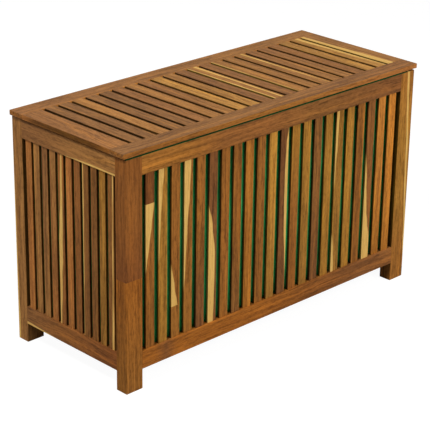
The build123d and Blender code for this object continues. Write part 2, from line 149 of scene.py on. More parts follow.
def board(low, high, along, across, backwards=(), tone="chestnut", sapwood=(), far_sapwood=(), deep=0.0,
          arris=0.002, edge_tone=(), edge_shade=(bare_edge, bare_edge), end_soak=0.4, end_ease=0.9):
    """A planed board between two corners, with its ends eased by end_ease times the arris. along and across
    are the axes of its length and its face; backwards are axes that are read from high to low. tone is the
    wood's, and edge_tone that of its edges where they differ. sapwood and far_sapwood are pale bands, which
    stop at a depth if deep gives one. edge_shade is how dark the low and the high edge are painted, mostly
    as painted shade where an edge faces into a gap, and end_soak how dark the two ends are."""
    low, high = np.array(low), np.array(high)
    length, width, depth = (high - low)[[along, across, 3 - along - across]]
    points, normals, section, turn = planed_shape(low, high, along, across, arris, end_ease * arris)
    rings, around = points.shape[:2]
    share_along = (points[..., along] - low[along]) / length
    share_across = (points[..., across] - low[across]) / width
    share_along = 1 - share_along if along in backwards else share_along
    share_across = 1 - share_across if across in backwards else share_across
    # An edge's darkness is painted shade where it faces into a gap; the ends darken as oiled end grain.
    on_edge = np.clip(2 * np.abs(np.cos(turn)) - 1, 0, 1)
    edge_shades = [np.interp(share_along, *np.transpose(rows)) for rows in edge_shade]
    shade_at_edge = np.where(np.cos(turn) < 0, *edge_shades) * on_edge
    at_end = np.zeros((rings, 1))
    at_end[[0, -1]] = end_soak
    colours = wood_colours(tone, share_along)
    if edge_tone:
        colours += on_edge[:, None] * (wood_colours(edge_tone, share_along) - colours)
    pith = cutting_list.uniform(pith_nearest, pith_farthest)
    log_place = cutting_list.uniform(0, log_length)
    grain = [
        share_along * length + log_place,
        (share_across - 0.5) * width - pith[0],
        section[..., 1] - pith[1],
    ]
    outside, at_any_depth = -1.0, 1.0
    bands = np.full((2, rings, around, 3), outside)
    bands[..., 2] = deep - (section[..., 1] + depth / 2) if deep else at_any_depth
    for band, rows in zip(bands, (sapwood, far_sapwood)):
        if len(rows):
            band[..., 0], band[..., 1] = band_edges(rows, share_along, share_across, width)

    quads, caps = tube_faces(rings, around)
    cap_normals = np.zeros((2, around, 3))
    cap_normals[0, :, along], cap_normals[1, :, along] = -1, 1
    if (across - along) % 3 != 1:
        quads, caps = quads[:, ::-1], caps[:, ::-1]
    return {
        "points": points.reshape(-1, 3),
        "normals": normals.reshape(-1, 3),
        "quads": quads,
        "caps": caps,
        "cap_normals": cap_normals,
        "grain": np.stack(grain, -1).reshape(-1, 3),
        "sapwood": bands[0].reshape(-1, 3),
        "far_sapwood": bands[1].reshape(-1, 3),
        "end_grain_and_shade": np.maximum(at_end, shade_at_edge).ravel(),
        "heartwood": colours[..., :3].reshape(-1, 3),
        "figure": colours[..., 3:].reshape(-1, 3),
    }


def write_attribute(mesh, name, kind, values):
    """One value for each vertex of a mesh, under a name that its material reads."""
    field = {"FLOAT": "value", "FLOAT_VECTOR": "vector", "FLOAT_COLOR": "color"}[kind]
    made = mesh.attributes.new(name, kind, "POINT")
    made.data.foreach_set(field, np.ascontiguousarray(values, np.float32).ravel())


def joinery(name, boards, finish, body, slot, *nodes):
    """Boards side by side as one piece: vertices, faces, normals and figure end to end in single arrays."""

    def end_to_end(field):
        """What all boards hold under one name, one board after the other."""
        return np.concatenate([each[field] for each in boards])

    starts = np.cumsum([0] + [len(each["points"]) for each in boards])[:-1]
    quads = np.concatenate([each["quads"] + start for each, start in zip(boards, starts)])
    caps = np.concatenate([each["caps"] + start for each, start in zip(boards, starts)])
    mesh = bpy.data.meshes.new(name)
    mesh.from_pydata(end_to_end("points").tolist(), [], quads.tolist() + caps.tolist())
    quad_normals = end_to_end("normals")[quads].reshape(-1, 3)
    loop_normals = np.concatenate([quad_normals, end_to_end("cap_normals").reshape(-1, 3)])
    mesh.normals_split_custom_set(loop_normals.tolist())
    for field in ("grain", "sapwood", "far_sapwood"):
        write_attribute(mesh, field, "FLOAT_VECTOR", end_to_end(field))
    write_attribute(mesh, "end_grain_and_shade", "FLOAT", end_to_end("end_grain_and_shade"))
    for field in ("heartwood", "figure"):
        write_attribute(mesh, field, "FLOAT_COLOR", np.insert(end_to_end(field), 3, 1.0, axis=1))
    mesh.materials.append(finish)
    joined = bpy.data.objects.new(name, mesh)
    bpy.context.scene.collection.objects.link(joined)
    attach(joined, body)
    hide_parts(*nodes)


def place(tree, kind, feeds=None, **settings):
    """One shader node. settings are its own properties; feeds are its inputs, each a value or another node's
    output."""
    made = tree.nodes.new("ShaderNode" + kind)
    for key, value in settings.items():
        setattr(made, key, value)
    for key, value in (feeds or {}).items():
        if isinstance(value, bpy.types.NodeSocket):
            tree.links.new(value, made.inputs[key])
        else:
            made.inputs[key].default_value = value
    return made


def reckon(tree, operation, first, second=0.0, third=0.0):
    """The output of one Math node."""
    return place(tree, "Math", {0: first, 1: second, 2: third}, operation=operation).outputs[0]


def layered(tree, value, layers):
    """A value with layers added to it, each times its weight."""
    for layer, weight in layers:
        value = reckon(tree, "MULTIPLY_ADD", layer, weight, value)
    return value


def ease(tree, value, low, high, floor=0.0, top=1.0):
    """A value taken smoothly from floor to top as it goes from low to high."""
    feeds = {"Value": value, "From Min": low, "From Max": high, "To Min": floor, "To Max": top}
    return place(tree, "MapRange", feeds, interpolation_type="SMOOTHSTEP").outputs[0]


def blend(tree, share, first, second, way="MIX"):
    """Two colours mixed by a share, or one laid over the other in another way."""
    made = place(tree, "Mix", {0: share, 6: first, 7: second}, data_type="RGBA", blend_type=way)
    return made.outputs[2]


def streaks(tree, vector, along, across, detail=2.0, roughness=0.5):
    """Noise drawn out along the grain: features per metre along and across it."""
    pace = (along, across, across)
    stretched = place(tree, "VectorMath", {0: vector, 1: pace}, operation="MULTIPLY").outputs[0]
    feeds = {"Vector": stretched, "Scale": 1.0, "Detail": detail, "Roughness": roughness}
    return place(tree, "TexNoise", feeds).outputs[0]


def streak_mask(tree, vector, along, across, low, high, detail=2.0, roughness=0.5):
    """Streaks that come up smoothly as their noise goes from low to high."""
    return ease(tree, streaks(tree, vector, along, across, detail, roughness), low, high)


def new_group(name, inputs, outputs):
    """An empty shader node group with named sockets, and its two end nodes."""
    tree = bpy.data.node_groups.new(name, "ShaderNodeTree")
    for way, sockets in (("INPUT", inputs), ("OUTPUT", outputs)):
        for label, kind in sockets:
            tree.interface.new_socket(label, in_out=way, socket_type="NodeSocket" + kind)
    return tree, tree.nodes.new("NodeGroupInput").outputs, tree.nodes.new("NodeGroupOutput").inputs


def inside_band(tree, edges):
    """How far a point lies inside a pale band: the least of its three distances."""
    left, right, depth = place(tree, "SeparateXYZ", {0: edges}).outputs
    return reckon(tree, "MINIMUM", reckon(tree, "MINIMUM", left, right), depth)


def wandering_rings(tree, grain):
    """The grain bent round a pith that wanders in the log, and its rings, dark towards their outer edge."""
    pith_sway, pith_dive = 0.034, 0.04
    wander = reckon(tree, "SUBTRACT", streaks(tree, grain, along=2.6, across=9), 0.5)
    sideways = reckon(tree, "MULTIPLY", wander, pith_sway)
    inwards = reckon(tree, "MULTIPLY", wander, pith_dive)
    shift = place(tree, "CombineXYZ", {1: sideways, 2: inwards}).outputs[0]
    bent = place(tree, "VectorMath", {0: grain, 1: shift}, operation="ADD").outputs[0]
    _, side, depth = place(tree, "SeparateXYZ", {0: bent}).outputs
    radius = reckon(tree, "SQRT", reckon(tree, "MULTIPLY_ADD", side, side, reckon(tree, "POWER", depth, 2)))
    rings_per_metre, ring_drift, ring_edge = 150, 1.6, 2.0
    uneven = reckon(tree, "MULTIPLY", streaks(tree, bent, along=1.2, across=30), ring_drift)
    ring_count = reckon(tree, "MULTIPLY_ADD", radius, rings_per_metre, uneven)
    return bent, reckon(tree, "POWER", reckon(tree, "FRACT", ring_count), ring_edge)


def pale_bands(tree, bent, near_edges, far_edges):
    """How far a point belongs to one of two pale bands, whose edges are soft and uneven."""
    inside = reckon(tree, "MAXIMUM", inside_band(tree, near_edges), inside_band(tree, far_edges))
    ragged_edge, soft_edge = 0.007, (-0.0016, 0.0018)
    edge_noise = streaks(tree, bent, along=5, across=80, detail=3)
    ragged = reckon(tree, "MULTIPLY_ADD", edge_noise, ragged_edge, -ragged_edge / 2)
    return ease(tree, reckon(tree, "ADD", inside, ragged), *soft_edge)


def acacia_group():
    """Acacia cut from the log: rings, broad streaks, thin dark veins, fibres and short pores along the
    grain, and pale sapwood bands. It puts out a colour, a roughness and a height."""
    tree, given, out = new_group(
        "acacia",
        [("Grain", "Vector"), ("Heartwood", "Color"), ("Figure", "Color"), ("Sapwood", "Vector"),
         ("Far Sapwood", "Vector"), ("End Grain And Shade", "Float")],
        [("Colour", "Color"), ("Roughness", "Float"), ("Height", "Float")],
    )
    bent, rings = wandering_rings(tree, given["Grain"])
    broad = streak_mask(tree, bent, along=2.2, across=62, low=0.36, high=0.66, detail=3, roughness=0.55)
    bands = streak_mask(tree, bent, along=3.2, across=125, low=0.4, high=0.62, roughness=0.6)
    clouds = streak_mask(tree, bent, along=4.5, across=16, low=0.5, high=0.72)
    veins = streak_mask(tree, bent, along=1.5, across=190, low=0.58, high=0.7)
    mottle = streak_mask(tree, bent, along=75, across=170, low=0.4, high=0.66, detail=3, roughness=0.6)
    fibres = streaks(tree, bent, along=7, across=420, detail=3, roughness=0.6)
    flecks = streak_mask(tree, bent, along=18, across=260, low=0.55, high=0.68)
    pores = streak_mask(tree, bent, along=55, across=1500, low=0.62, high=0.72, detail=1)
    light = streak_mask(tree, bent, along=1.6, across=48, low=0.52, high=0.72)

    plain_wood = -0.5
    figured = layered(tree, plain_wood, (
        (fibres, 0.8), (rings, 0.2), (broad, 0.26), (bands, 0.34), (clouds, 0.24), (veins, 0.45),
        (flecks, 0.45), (mottle, 0.3),
    ))
    figured = reckon(tree, "MINIMUM", reckon(tree, "MAXIMUM", figured, 0.0), 1.0)
    heart = blend(tree, figured, given["Heartwood"], given["Figure"])
    golden_lift = (1.3, 1.27, 1.1, 1)
    golden = blend(tree, 1.0, heart, golden_lift, "MULTIPLY")
    heart = blend(tree, light, heart, golden)

    pale = pale_bands(tree, bent, given["Sapwood"], given["Far Sapwood"])
    pale_straw, deep_straw = (*pigment(228, 184, 104), 1), (*pigment(208, 160, 84), 1)
    straw = blend(tree, ease(tree, fibres, 0.3, 0.7), pale_straw, deep_straw)
    tan_tint, tan_veins = (0.72, 0.64, 0.52, 1), 0.6
    tan = blend(tree, 1.0, straw, tan_tint, "MULTIPLY")
    straw = blend(tree, reckon(tree, "MULTIPLY", veins, tan_veins), straw, tan)
    colour = blend(tree, pale, heart, straw)
    pore_brown, pore_strength = (*pigment(74, 44, 26), 1), 0.4
    colour = blend(tree, reckon(tree, "MULTIPLY", pores, pore_strength), colour, pore_brown)
    # The ends darken as oiled end grain. On edges the same darkening is painted shade, and its olive cast is
    # the liner's green light, painted in.
    end_and_shade_tint = (0.17, 0.17, 0.12, 1)
    end_and_shade_darkened = blend(tree, 1.0, colour, end_and_shade_tint, "MULTIPLY")
    colour = blend(tree, given["End Grain And Shade"], colour, end_and_shade_darkened)

    smoothest = 0.44
    matt = layered(tree, smoothest, ((fibres, 0.2), (pores, 0.15)))
    relief = layered(tree, fibres, ((rings, -0.25), (pores, -0.6)))
    for socket, value in (("Colour", colour), ("Roughness", matt), ("Height", relief)):
        tree.links.new(value, out[socket])
    return tree


def new_finish(name):
    """An empty material with its Principled shader."""
    finish = bpy.data.materials.new(name)
    finish.use_nodes = True
    return finish, finish.node_tree, finish.node_tree.nodes["Principled BSDF"]


def dress(tree, shader, colour, roughness, bump):
    """Joins a colour, a roughness and a bump to the shader of a finish."""
    for socket, value in (("Base Color", colour), ("Roughness", roughness), ("Normal", bump.outputs[0])):
        tree.links.new(value, shader.inputs[socket])


def wood_finish(name, gloss, relief):
    """Wood that reads the figure written on its boards. gloss is the strength of its shine, and relief the
    depth of its grain."""
    finish, tree, shader = new_finish(name)
    figure = place(tree, "Group", node_tree=acacia)
    for socket, field, output in (
        ("Grain", "grain", "Vector"),
        ("Heartwood", "heartwood", "Color"),
        ("Figure", "figure", "Color"),
        ("Sapwood", "sapwood", "Vector"),
        ("Far Sapwood", "far_sapwood", "Vector"),
        ("End Grain And Shade", "end_grain_and_shade", "Fac"),
    ):
        tree.links.new(place(tree, "Attribute", attribute_name=field).outputs[output], figure.inputs[socket])
    bump = place(tree, "Bump", {"Height": figure.outputs["Height"], "Distance": relief, "Strength": 0.5})
    dress(tree, shader, figure.outputs["Colour"], figure.outputs["Roughness"], bump)
    shader.inputs["Specular IOR Level"].default_value = gloss
    return finish


def box_corners(node):
    """The low and the high corner of a node's box."""
    return [np.array(corner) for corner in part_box(node)]


acacia = acacia_group()
oiled_wood = wood_finish("oiled_acacia", gloss=0.03, relief=0.0005)
post_arris = 0.002
post_end_ease = 0.2

# Each post: its lengths from the foot up (share of height at the head, tone, darkness of its two edges), the
# axis across its face, its sapwood and how deep that goes. Inner sides carry painted shade, full between the
# rails and lighter on the leg below, where they lie in shade beside the slats and under the box. The near
# post's outer face is darker towards its foot.
shade_between_rails = ((0.13, 0.65), (0.165, 1.0), (0.92, 1.0), (0.96, 0.0))
inner_side_shade = (shade_between_rails, bare_edge)
post_cuts = {
    "front_left": (
        [
            (0.49, ((0, "russet"), (1, "copper")),
             (((0, 0.32), (0.5, 0.24), (1, 0.1)), ((0.26, 0.45), (0.34, 1.0)))),
            (1, ((0, "brick"), (0.5, "hazel")),
             (((0, 0.0), (0.5, 0.06)), ((0.84, 1.0), (0.92, 0.0)))),
        ],
        0, (), 0.0,
    ),
    "front_right": (
        [(1, ((0.15, "russet"), (0.4, "golden"), (0.7, "golden"), (1, "russet")), inner_side_shade)],
        0, ((0, 1.1, 1.2), (0.2, 0.86, 0.98), (0.6, 0.7, 0.82), (1, 0.5, 0.64)), 0.02,
    ),
    "back_left": (
        [(1, "dusty", inner_side_shade)],
        1, ((0, -1, 0.22), (0.5, -1, 0.14), (1, -1, 0.02)), 0.012,
    ),
    "back_right": ([(1, "amber", inner_side_shade)], 0, (), 0.0),
}
for corner, (lengths, across, sapwood, deep) in post_cuts.items():
    node = "post_" + corner
    low, high = box_corners(node)
    foot, rise, pieces = low[2], high[2] - low[2], []
    for head, tone, edge_shade in lengths:
        low[2], high[2] = high[2] if pieces else foot, foot + head * rise
        pieces.append(board(low, high, 2, across, (1,), tone, sapwood, deep=deep, arris=post_arris,
                            edge_shade=edge_shade, end_ease=post_end_ease))
    joinery(node + "_oiled", pieces, oiled_wood, "box", "oiled_wood", node)


# Rails: a top and a bottom acacia rail on each side, tenoned and glued between the posts.
# Each is planed flush with the outer faces of the posts, and its inner edge is mortised for the slats.
rail_arris = 0.0015
hidden_end = 0.0012
post_inner_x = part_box("post_front_right")[0].x
post_inner_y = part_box("post_back_right")[0].y
rail_cuts = {
    "front_top_rail": (((0.15, "russet"), (0.3, "rose"), (0.45, "rose"), (0.65, "umber"), (1, "plum")), ()),
    "front_bottom_rail": (((0.04, "copper"), (0.08, "plum"), (0.12, "copper"), (0.45, "copper"),
                           (0.6, "rust"), (0.85, "plum"), (1, "rose")), ()),
    "back_top_rail": ("chestnut", ()),
    "back_bottom_rail": ("rust", ()),
    "left_top_rail": (((0.2, "faded"), (0.7, "dusty")),
                      ((0.3, -1, -0.15), (0.5, -1, 0.05), (0.75, -1, 0.1), (1, -1, 0.1))),
    "left_bottom_rail": (((0, "faded"), (0.4, "rose"), (1, "brick")),
                         ((0, -1, 0.14), (0.25, -1, 0.06), (0.5, -1, -0.1))),
    "right_top_rail": ("amber", ()),
    "right_bottom_rail": ("chestnut", ()),
}
for node, (tone, sapwood) in rail_cuts.items():
    low, high = box_corners(node)
    along = 0 if node.startswith(("front", "back")) else 1
    reach = (post_inner_x, post_inner_y)[along] + hidden_end
    low[along], high[along] = -reach, reach
    rail = board(low, high, along, 2, (1,), tone, sapwood, arris=rail_arris)
    joinery(node + "_oiled", [rail], oiled_wood, "box", "oiled_wood", node)


# Wall slats: thin upright acacia slats, let into the rails' mortises and set back from the posts' faces.
# They are cut from short stock, so tones change from slat to slat, some keep sapwood and some are pieced.
slat_arris = 0.0012
# Unless a row says otherwise, both edges of every slat are painted fully dark: painted shade for the narrow
# gaps between slats.
slat_edge_shade = (shaded_edge, shaded_edge)
rail_hold = 0.004
wall_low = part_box("front_bottom_rail")[1].z - rail_hold
wall_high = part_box("front_top_rail")[0].z + rail_hold


def piece(tone, *sapwood, head=1.0, far_sapwood=()):
    """A length of slat that ends at a share of the whole, with the rows of its pale bands."""
    return {"tone": tone, "head": head, "bands": (sapwood, far_sapwood)}


def slat_row(low, high, along, across, span, width, cuts, backwards=(), arris=slat_arris,
             edge_shade=slat_edge_shade):
    """Boards side by side with even gaps across a span. Each cut is the tone of a plain board, or the list
    of pieces that make one up, end to end."""
    gap = (span[1] - span[0] - len(cuts) * width) / (len(cuts) + 1)
    length = high[along] - low[along]
    slats = []
    for number, cut in enumerate(cuts[::-1] if across in backwards else cuts):
        start = span[0] + gap + number * (width + gap)
        foot = 0.0
        for part in cut if isinstance(cut, list) else [piece(cut)]:
            head = part["head"]
            part_low, part_high = np.array(low), np.array(high)
            part_low[across], part_high[across] = start, start + width
            part_low[along], part_high[along] = low[along] + foot * length, low[along] + head * length
            bands = [[((at - foot) / (head - foot), *edges) for at, *edges in rows]
                     for rows in part["bands"]]
            slats.append(board(part_low, part_high, along, across, backwards, part["tone"], *bands,
                               arris=arris, edge_shade=edge_shade))
            foot = head
    return slats


# Sapwood rows are share of length, left and right share of width: -1 and 2 lie well past a slat's edges.
front_slat_width = 0.030
front_cuts = [
    [piece("chestnut", (0.4, -1, -0.1), (0.5, -1, 0.14), (0.6, -1, 0.42), (0.7, -1, 0.68), (0.82, -1, 1.0),
           head=0.82),
     piece("brick")],
    [piece("golden", (0.42, -1, -0.1), (0.55, -1, 0.1), (0.7, -1, 0.25), (0.85, -1, 0.42), (1, -1, 0.6))],
    [piece("russet", head=0.19),
     piece("chestnut", (0.19, -1, 0.74), (0.3, -1, 0.42), (0.4, -1, 0.12), (0.46, -1, -0.1))],
    [piece("russet", (0.2, -1, -0.1), (0.4, -1, 0.16), (0.6, -1, 0.38), (0.8, -1, 0.64), (1, -1, 0.78))],
    ((0.2, "plum"), (0.5, "chestnut")),
    [piece("plum", (0, -1, 0.62), (0.3, -1, 0.8), (0.42, -1, 0.78), (0.56, -1, 0.46), (0.74, -1, -0.12))],
    "chestnut",
    ((0, "umber"), (0.5, "chestnut")),
    "amber",
    "chestnut",
    ((0, "olive"), (0.6, "honey")),
    [piece("plum", (0.05, 1.1, 2), (0.2, 0.88, 2), (0.4, 0.68, 2), (0.7, 0.62, 2), (0.9, 0.72, 2),
           (1, 0.94, 2))],
    ((0, "rust"), (0.5, "chestnut"), (1, "golden")),
    ((0, "olive"), (0.8, "golden")),
    ((0, "plum"), (0.6, "umber")),
    "golden",
    [piece(((0.3, "olive"), (0.8, "golden")),
           (0.45, -1, -0.1), (0.6, -1, 0.1), (0.8, -0.05, 0.27), (1, 0.05, 0.32),
           far_sapwood=((0, -1, 0.32), (0.15, -1, 0.24), (0.3, -1, -0.1)))],
    "golden",
    "chestnut",
    [piece("rose", (0, -1, 1.05), (0.14, -1, 1.0), (0.22, -1, 0.66), (0.32, -1, 0.42), (0.5, -1, 0.24),
           (0.75, -1, -0.1))],
    ((0.1, "amber"), (0.5, "apricot")),
    ((0, "amber"), (1, "apricot")),
]
side_slat_width = 0.0235
left_cuts = [
    "clay",
    "dusty",
    ((0, "dusty"), (1, "faded")),
    ((0, "clay"), (1, "dusty")),
    [piece("rose", (0, -1, 0.22), (0.25, -1, 0.45), (0.45, -0.1, 0.66), (0.6, 0.16, 0.74), (0.8, 0.4, 0.74),
           (1, 0.54, 0.72))],
    "clay",
    "rose",
    [piece("umber", (0, -1, 0.1), (1, -1, 0.22))],
    "umber",
    "olive",
    [piece("umber", (0, 0.62, 0.84), (1, 0.72, 0.9))],
]
back_cuts = [
    "amber", "rust", "chestnut", "honey",
    [piece("plum", (0.2, -1, -0.2), (0.6, -1, 0.3), (1, -1, 0.66))],
    "olive", "chestnut", "amber", "rust", "umber", "chestnut",
    [piece("honey", (0, 0.35, 2), (0.4, 0.6, 2), (0.7, 1.2, 2))],
    "amber", "plum", "chestnut", "rust", "olive", "amber",
    [piece("chestnut", (0.1, -1, -0.2), (0.4, -1, 0.8), head=0.4), piece("rust")],
    "umber", "honey", "chestnut",
]
right_cuts = [
    "chestnut", "honey", "rust", "amber",
    [piece("plum", (0, 0.75, 2), (1, 0.5, 2))],
    "chestnut", "olive", "rust",
    [piece("amber", (0, -1, 0.5), (0.5, -1, -0.2))],
    "chestnut", "umber",
]
for side, cuts, width, across, backwards in (
    ("front", front_cuts, front_slat_width, 0, ()),
    ("left", left_cuts, side_slat_width, 1, (1,)),
    ("back", back_cuts, front_slat_width, 0, ()),
    ("right", right_cuts, side_slat_width, 1, ()),
):
    low, high = box_corners(side + "_slats")
    low[2], high[2] = wall_low, wall_high
    reach = (post_inner_x, post_inner_y)[across]
    slats = slat_row(low, high, 2, across, (-reach, reach), width, cuts, backwards)
    joinery(side + "_slats_oiled", slats, oiled_wood, "box", "oiled_wood", side + "_slats")


# Corner brackets: pressed steel angles with a zinc coat, sheared and bent from strip.
# They are screwed into the posts and side rails inside the corners, and hold the side panels to the posts.
def zinc_finish():
    """Zinc-plated steel: a grey metal with a faint spangle, and a dull bloom that changes its gloss."""
    finish, tree, shader = new_finish("zinc_steel")
    dull_zinc, bright_zinc, spangle_strength = (0.3, 0.31, 0.32, 1), (0.46, 0.46, 0.45, 1), 0.12
    where = place(tree, "TexCoord").outputs["Object"]
    spangle = place(tree, "TexVoronoi", {"Vector": where, "Scale": 420.0}).outputs["Color"]
    bloom = place(tree, "TexNoise", {"Vector": where, "Scale": 90.0, "Detail": 3.0}).outputs[0]
    grey = blend(tree, ease(tree, bloom, 0.35, 0.65), dull_zinc, bright_zinc)
    grey = blend(tree, spangle_strength, grey, spangle, "OVERLAY")
    bump = place(tree, "Bump", {"Height": bloom, "Distance": 0.0002, "Strength": 0.2})
    dress(tree, shader, grey, ease(tree, bloom, 0.3, 0.7, floor=0.32, top=0.5), bump)
    shader.inputs["Metallic"].default_value = 1.0
    return finish


def plate(*nodes):
    """Gives the zinc finish to hardware that is shown as it was built."""
    for name in nodes:
        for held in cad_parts[name].material_slots:
            held.material = zinc_steel


zinc_steel = zinc_finish()
plate("corner_brackets", "corner_bracket_screws")


# Floor: battens screwed to the rails on all four sides, with spaced slats screwed across them.
# It is of the same acacia, left dry from the saw, since the liner covers it; a short slat fills each end.
dry_wood = wood_finish("dry_acacia", gloss=0.02, relief=0.0008)
floor_arris = 0.001
floor_slat_width = 0.060
end_slat_width = 0.036
end_slat_reach = 0.180
floor_cuts = (
    "olive", "chestnut", "honey", "rose", "chestnut", "olive", "amber", "chestnut", "umber", "honey", "rose",
    "olive",
)
for side, tone in (("front", "olive"), ("back", "chestnut"), ("left", "rose"), ("right", "umber")):
    node = f"floor_{side}_batten"
    along = 0 if side in ("front", "back") else 1
    batten = board(*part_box(node), along, 1 - along, tone=tone, arris=floor_arris)
    joinery(node + "_dry", [batten], dry_wood, "box", "inner_wood", node)
floor_low, floor_high = box_corners("floor_slats")
floor_span = [corner.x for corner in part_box("floor_front_batten")]
floor_slats = slat_row(floor_low, floor_high, 1, 0, floor_span, floor_slat_width, floor_cuts,
                       arris=floor_arris, edge_shade=(bare_edge, bare_edge))
for start, tone in ((floor_low[0], "chestnut"), (floor_high[0] - end_slat_width, "honey")):
    low, high = floor_low.copy(), floor_high.copy()
    low[:2], high[:2] = (start, -end_slat_reach), (start + end_slat_width, end_slat_reach)
    floor_slats.append(board(low, high, 1, 0, tone=tone, arris=floor_arris))
joinery("floor_slats_dry", floor_slats, dry_wood, "box", "inner_wood", "floor_slats")
plate("batten_screws", "floor_screws")


# Liner: a bag of green coated cloth that hangs inside the box, notched at the corners to go round the posts.
# Its walls belly out between the rails, close behind the slats, and its base lies slack on the floor slats.
liner_thickness = 0.0012
liner_corner = 0.010
liner_foot = 0.007
wall_belly = 0.0052
end_belly = 0.0074
slack_run = 0.1
long_run = 0.5
liner_fold = 0.0016
base_ripple = 0.0022
liner_clearance = 0.0002
liner_mesh_step = 0.014
crease_pitches = (0.28, 0.2, 0.24)
crease_width = 0.007


def cloth_finish(name, green, deep, thread_pitch, gloss, creased=False):
    """Coated cloth: a plain weave under a thin, unevenly faded coat. Creased cloth keeps the lines of the
    folds in which it was packed: at even steps along each axis, a ridge that eases off on both sides."""
    finish, tree, shader = new_finish(name)
    thread_lift, thread_share = (1.18, 1.15, 1.16, 1), 0.5
    threads = place(tree, "SeparateXYZ", {0: place(tree, "UVMap", uv_map="cloth").outputs[0]}).outputs
    thread_turns = 2 * np.pi / thread_pitch
    warp = reckon(tree, "SINE", reckon(tree, "MULTIPLY", threads[0], thread_turns))
    weft = reckon(tree, "SINE", reckon(tree, "MULTIPLY", threads[1], thread_turns))
    weave = reckon(tree, "MULTIPLY_ADD", reckon(tree, "MULTIPLY", warp, weft), 0.5, 0.5)
    where = place(tree, "TexCoord").outputs["Object"]
    fade = place(tree, "TexNoise", {"Vector": where, "Scale": 9.0, "Detail": 4.0}).outputs[0]
    shade = blend(tree, ease(tree, fade, 0.35, 0.68), (*pigment(*deep), 1), (*pigment(*green), 1))
    pale = blend(tree, 1.0, shade, thread_lift, "MULTIPLY")
    coat = blend(tree, reckon(tree, "MULTIPLY", weave, thread_share), shade, pale)
    bump = place(tree, "Bump", {"Height": weave, "Distance": 0.0002, "Strength": 0.4})
    if creased:
        ridges = []
        for axis, pitch in zip(place(tree, "SeparateXYZ", {0: where}).outputs, crease_pitches):
            off_crease = reckon(tree, "PINGPONG", reckon(tree, "ADD", axis, pitch / 2), pitch / 2)
            ridges.append(ease(tree, off_crease, crease_width, 0.0))
        ridge = reckon(tree, "MAXIMUM", reckon(tree, "MAXIMUM", ridges[0], ridges[1]), ridges[2])
        folded = place(tree, "Bump", {"Height": ridge, "Distance": 0.0015, "Strength": 0.5})
        tree.links.new(folded.outputs[0], bump.inputs["Normal"])
    dress(tree, shader, coat, ease(tree, weave, 0, 1, floor=0.62, top=0.74), bump)
    shader.inputs["Specular IOR Level"].default_value = gloss
    return finish


def rounded_outline(corners, radius, step):
    """A closed outline of square corners, each turned by a quarter circle, walked anticlockwise. It gives
    the points, their outward normals, and on a straight run its length and the share walked of it (both 0 on
    a turn)."""
    corners = np.array(corners)
    ahead = np.roll(corners, -1, axis=0) - corners
    lengths = np.linalg.norm(ahead, axis=1)
    leaving = ahead / lengths[:, None]
    arriving = np.roll(leaving, 1, axis=0)
    middles = corners + radius * (leaving - arriving)
    turn_points = 5
    turn = np.linspace(0, np.pi / 2, turn_points)
    sine, cosine = np.sin(turn)[:, None], np.cos(turn)[:, None]
    points, tangents, runs, shares = [], [], [], []
    for middle, came, goes, length in zip(middles, arriving, leaving, lengths):
        arc = middle + radius * (sine * came - cosine * goes)
        straight = length - 2 * radius
        share = np.linspace(0, 1, max(2, round(straight / step)) + 1)[1:-1]
        run = arc[-1] + straight * share[:, None] * goes
        points += [arc, run]
        tangents += [cosine * came + sine * goes, np.broadcast_to(goes, run.shape)]
        runs += [0 * turn, np.full(len(share), length)]
        shares += [0 * turn, share]
    tangents = np.concatenate(tangents)
    normals = np.stack([tangents[:, 1], -tangents[:, 0]], 1)
    return np.concatenate(points), normals, np.concatenate(runs), np.concatenate(shares)


